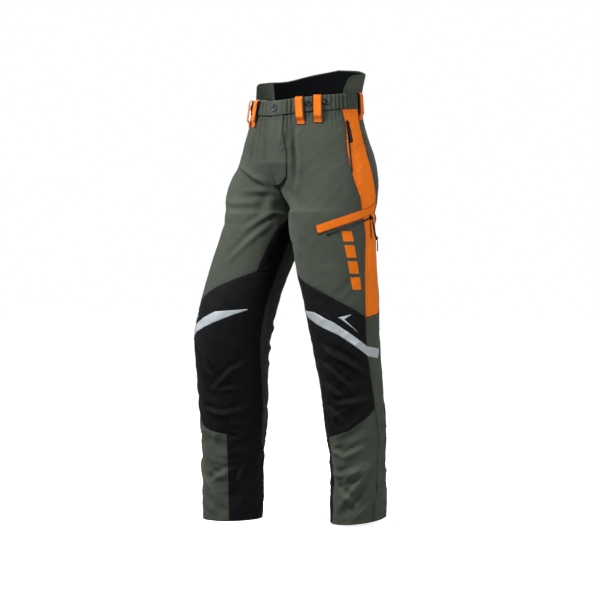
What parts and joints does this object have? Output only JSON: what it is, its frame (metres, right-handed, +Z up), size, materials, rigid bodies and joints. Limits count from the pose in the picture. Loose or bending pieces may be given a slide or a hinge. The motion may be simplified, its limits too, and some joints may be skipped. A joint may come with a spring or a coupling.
{
  "type": "chainsaw protective trousers",
  "caption": "Chainsaw protective work trousers with cut-protection pads, black knee panels, orange side panels, a raised back, zipped pockets and belt loops.",
  "frame": {"origin": "on the floor under the middle of the trousers as they stand", "axes": "+Z up, the front faces -Y, the wearer's left is +X"},
  "size_m": [0.449, 0.3652, 1.1433],
  "materials": {
    "shell_green": "matt twill, olive green",
    "shell_black": "matt ripstop, black",
    "shell_orange": "matt stretch fabric, bright orange",
    "lining": "smooth black lining",
    "cut_protection": "layers of loose knitted fibre",
    "reflective": "silver retro-reflective film",
    "zip_tape": "black coil zip",
    "zip_metal": "black enamelled die casting",
    "zip_pull": "black moulded puller",
    "button": "dark gloss"
  },
  "bodies": {
    "garment": {"front_thigh_left": "shell_green", "inner_thigh_left": "shell_black", "knee_panel_left": "shell_black", "shin_panel_left": "shell_green", "kick_guard_left": "shell_black", "side_panel_upper_left": "shell_orange", "side_panel_lower_left": "shell_green", "back_leg_left": "shell_green", "front_thigh_right": "shell_green", "inner_thigh_right": "shell_black", "knee_panel_right": "shell_black", "shin_panel_right": "shell_green", "kick_guard_right": "shell_black", "side_panel_upper_right": "shell_orange", "side_panel_lower_right": "shell_green", "back_leg_right": "shell_green", "cut_pad_left": "cut_protection", "leg_lining_left": "lining", "cut_pad_right": "cut_protection", "leg_lining_right": "lining", "waistband": "shell_green", "kidney_panel": "shell_green", "kidney_lining": "lining", "waist_button": "button", "brace_button_front_left": "button", "brace_button_side_left": "button", "brace_button_front_right": "button", "brace_button_side_right": "button", "belt_loop_front_left": "shell_orange", "belt_loop_middle_left": "shell_orange", "belt_loop_rear_left": "shell_orange", "belt_loop_front_right": "shell_orange", "belt_loop_middle_right": "shell_orange", "belt_loop_rear_right": "shell_orange", "belt_loop_back": "shell_orange", "fly_placket": "shell_green", "hip_zip_left_tape": "zip_tape", "vent_zip_left_tape": "zip_tape", "hip_zip_right_tape": "zip_tape", "vent_zip_right_tape": "zip_tape", "thigh_zip_tape": "zip_tape", "fly_zip_tape": "zip_tape", "thigh_welt": "shell_orange", "knee_stripe_left": "reflective", "knee_chevron_left": "reflective", "knee_stripe_right": "reflective", "knee_chevron_right": "reflective"},
    "hip_zip_left_slider": {"hip_zip_left_slider": "zip_metal"},
    "hip_zip_left_pull": {"hip_zip_left_pull": "zip_pull"},
    "vent_zip_left_slider": {"vent_zip_left_slider": "zip_metal"},
    "vent_zip_left_pull": {"vent_zip_left_pull": "zip_pull"},
    "hip_zip_right_slider": {"hip_zip_right_slider": "zip_metal"},
    "hip_zip_right_pull": {"hip_zip_right_pull": "zip_pull"},
    "vent_zip_right_slider": {"vent_zip_right_slider": "zip_metal"},
    "vent_zip_right_pull": {"vent_zip_right_pull": "zip_pull"},
    "thigh_zip_slider": {"thigh_zip_slider": "zip_metal"},
    "thigh_zip_pull": {"thigh_zip_pull": "zip_pull"},
    "fly_zip_slider": {"fly_zip_slider": "zip_metal"},
    "fly_zip_pull": {"fly_zip_pull": "zip_pull"}
  },
  "joints": [
    {"name": "hip_zip_left_run", "type": "hinge", "parent": "garment", "child": "hip_zip_left_slider", "pos_m": [-3.99321, 1.16386, -0.34419], "axis": [-0.2888, -0.9543, 0.0763], "range_deg": [-1.5, 0]},
    {"name": "hip_zip_left_pull_swing", "type": "hinge", "parent": "hip_zip_left_slider", "child": "hip_zip_left_pull", "pos_m": [0.15959, 0.01375, 0.98988], "axis": [-0.2669, -0.9637, 0], "range_deg": [0, 130]},
    {"name": "vent_zip_left_run", "type": "hinge", "parent": "garment", "child": "vent_zip_left_slider", "pos_m": [2.13593, 2.67676, 0.75843], "axis": [0.7932, -0.6077, -0.0384], "range_deg": [0, 2.79]},
    {"name": "vent_zip_left_pull_swing", "type": "hinge", "parent": "vent_zip_left_slider", "child": "vent_zip_left_pull", "pos_m": [0.17058, 0.11472, 0.70885], "axis": [0.7934, -0.6087, 0], "range_deg": [0, 130]},
    {"name": "hip_zip_right_run", "type": "hinge", "parent": "garment", "child": "hip_zip_right_slider", "pos_m": [3.99266, 1.16386, -0.34419], "axis": [-0.2888, 0.9543, -0.0763], "range_deg": [-1.5, 0]},
    {"name": "hip_zip_right_pull_swing", "type": "hinge", "parent": "hip_zip_right_slider", "child": "hip_zip_right_pull", "pos_m": [-0.16014, 0.01375, 0.98988], "axis": [-0.2669, 0.9637, 0], "range_deg": [0, 130]},
    {"name": "vent_zip_right_run", "type": "slide", "parent": "garment", "child": "vent_zip_right_slider", "axis": [-0.0958, -0.3576, -0.929], "range_m": [0, 0.17035]},
    {"name": "vent_zip_right_pull_swing", "type": "hinge", "parent": "vent_zip_right_slider", "child": "vent_zip_right_pull", "pos_m": [-0.17912, 0.08742, 0.70825], "axis": [0.7224, 0.6915, 0], "range_deg": [0, 130]},
    {"name": "thigh_zip_run", "type": "hinge", "parent": "garment", "child": "thigh_zip_slider", "pos_m": [0.07431, 0.02273, 0.73012], "axis": [-0.1418, -0.2931, 0.9455], "range_deg": [-56.65, 0]},
    {"name": "thigh_zip_pull_swing", "type": "hinge", "parent": "thigh_zip_slider", "child": "thigh_zip_pull", "pos_m": [0.2067, 0.04833, 0.75791], "axis": [0.1898, -0.9818, 0], "range_deg": [0, 130]},
    {"name": "fly_zip_run", "type": "hinge", "parent": "garment", "child": "fly_zip_slider", "pos_m": [-0.00027, 0.19654, 0.93303], "axis": [-1, 0, 0], "range_deg": [-24.05, 0]},
    {"name": "fly_zip_pull_swing", "type": "hinge", "parent": "fly_zip_slider", "child": "fly_zip_pull", "pos_m": [-0.00027, -0.08024, 0.99171], "axis": [-1, 0, 0], "range_deg": [0, 3]}
  ]
}
